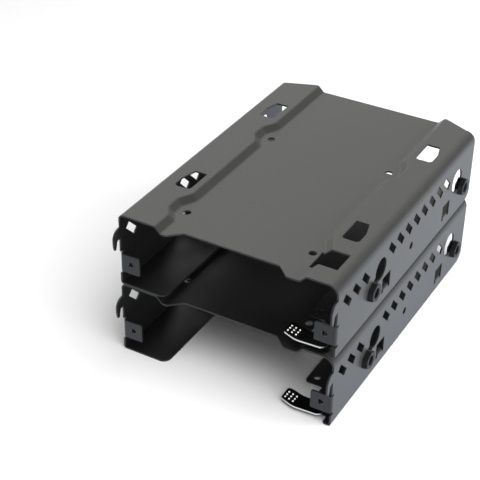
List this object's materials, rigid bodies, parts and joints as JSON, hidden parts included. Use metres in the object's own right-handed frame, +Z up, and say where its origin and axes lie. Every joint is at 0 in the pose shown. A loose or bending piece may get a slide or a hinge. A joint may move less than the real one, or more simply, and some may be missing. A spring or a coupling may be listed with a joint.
{
  "type": "drive mounting bracket",
  "caption": "Stack of folded sheet-steel drive trays with vented walls, rubber dampers in keyholes, lanced drive shelves and swinging finger levers.",
  "frame": {"origin": "on the surface that the lower tray stands on, under the middle of the stack's outline", "axes": "+Z up, +X to the side with the levers, +Y from the levers and hooks at the front to the open back"},
  "size_m": [0.1114, 0.1598, 0.0732],
  "materials": {
    "sheet": "satin dark grey coating",
    "damper": "matte black",
    "lever": "black coating",
    "spacer": "zinc plated",
    "rivet": "zinc plated"
  },
  "bodies": {
    "lower_tray": {"lower_shell": "sheet", "lower_damper_front_right": "damper", "lower_damper_front_left": "damper", "lower_damper_rear_right": "damper", "lower_damper_rear_left": "damper", "lower_lever_spacer": "spacer", "lower_lever_rivet": "rivet"},
    "lower_lever": {"lower_lever": "lever"},
    "upper_tray": {"upper_shell": "sheet", "upper_damper_front_right": "damper", "upper_damper_front_left": "damper", "upper_damper_rear_right": "damper", "upper_damper_rear_left": "damper", "upper_lever_spacer": "spacer", "upper_lever_rivet": "rivet"},
    "upper_lever": {"upper_lever": "lever"}
  },
  "joints": [
    {"name": "lower_lever_pivot", "type": "hinge", "parent": "lower_tray", "child": "lower_lever", "pos_m": [0.044, -0.06515, 0.002], "axis": [0, 0, 1], "range_deg": [0, 18]},
    {"name": "upper_lever_pivot", "type": "hinge", "parent": "upper_tray", "child": "upper_lever", "pos_m": [0.044, -0.06515, 0.0386], "axis": [0, 0, 1], "range_deg": [0, 18]},
    {"name": "upper_tray_lift", "type": "slide", "parent": "lower_tray", "child": "upper_tray", "axis": [0, 0, 1], "range_m": [0, 0.05]}
  ]
}
